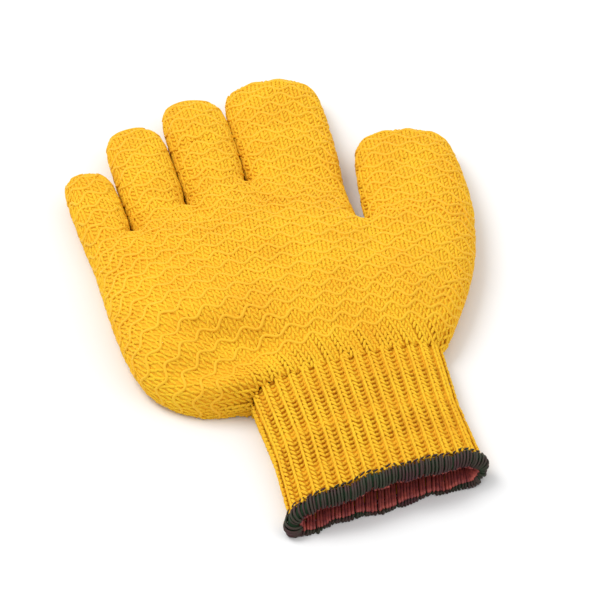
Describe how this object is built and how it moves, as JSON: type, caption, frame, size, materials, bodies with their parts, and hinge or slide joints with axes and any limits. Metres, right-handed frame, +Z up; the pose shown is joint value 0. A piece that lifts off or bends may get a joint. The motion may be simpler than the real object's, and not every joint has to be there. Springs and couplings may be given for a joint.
{
  "type": "grip glove",
  "caption": "Knitted yellow work glove lying flat: hollow finger and thumb stalls, palm, ribbed elastic cuff and dark overlocked hem, open at the wrist.",
  "frame": {"origin": "on the flat underside, below the middle of the palm, on the cuff's centre line", "axes": "+Y towards the fingertips, +X towards the thumb's side, +Z up from the surface it lies on"},
  "size_m": [0.1358, 0.2299, 0.024],
  "materials": {
    "yellow_knit": "fine yellow knit, matt, with a little fuzz",
    "yellow_rib": "the same yarn in elastic ribs",
    "hem_thread": "dark overlock thread with dark green and maroon strands",
    "grip_line": "raised wavy grip lines across the hand"
  },
  "bodies": {
    "root": {"palm": "yellow_knit", "little_stall": "yellow_knit", "ring_stall": "yellow_knit", "middle_stall": "yellow_knit", "index_stall": "yellow_knit", "thumb_stall": "yellow_knit", "rib_cuff": "yellow_rib", "overlock_hem": "hem_thread"}
  },
  "joints": []
}
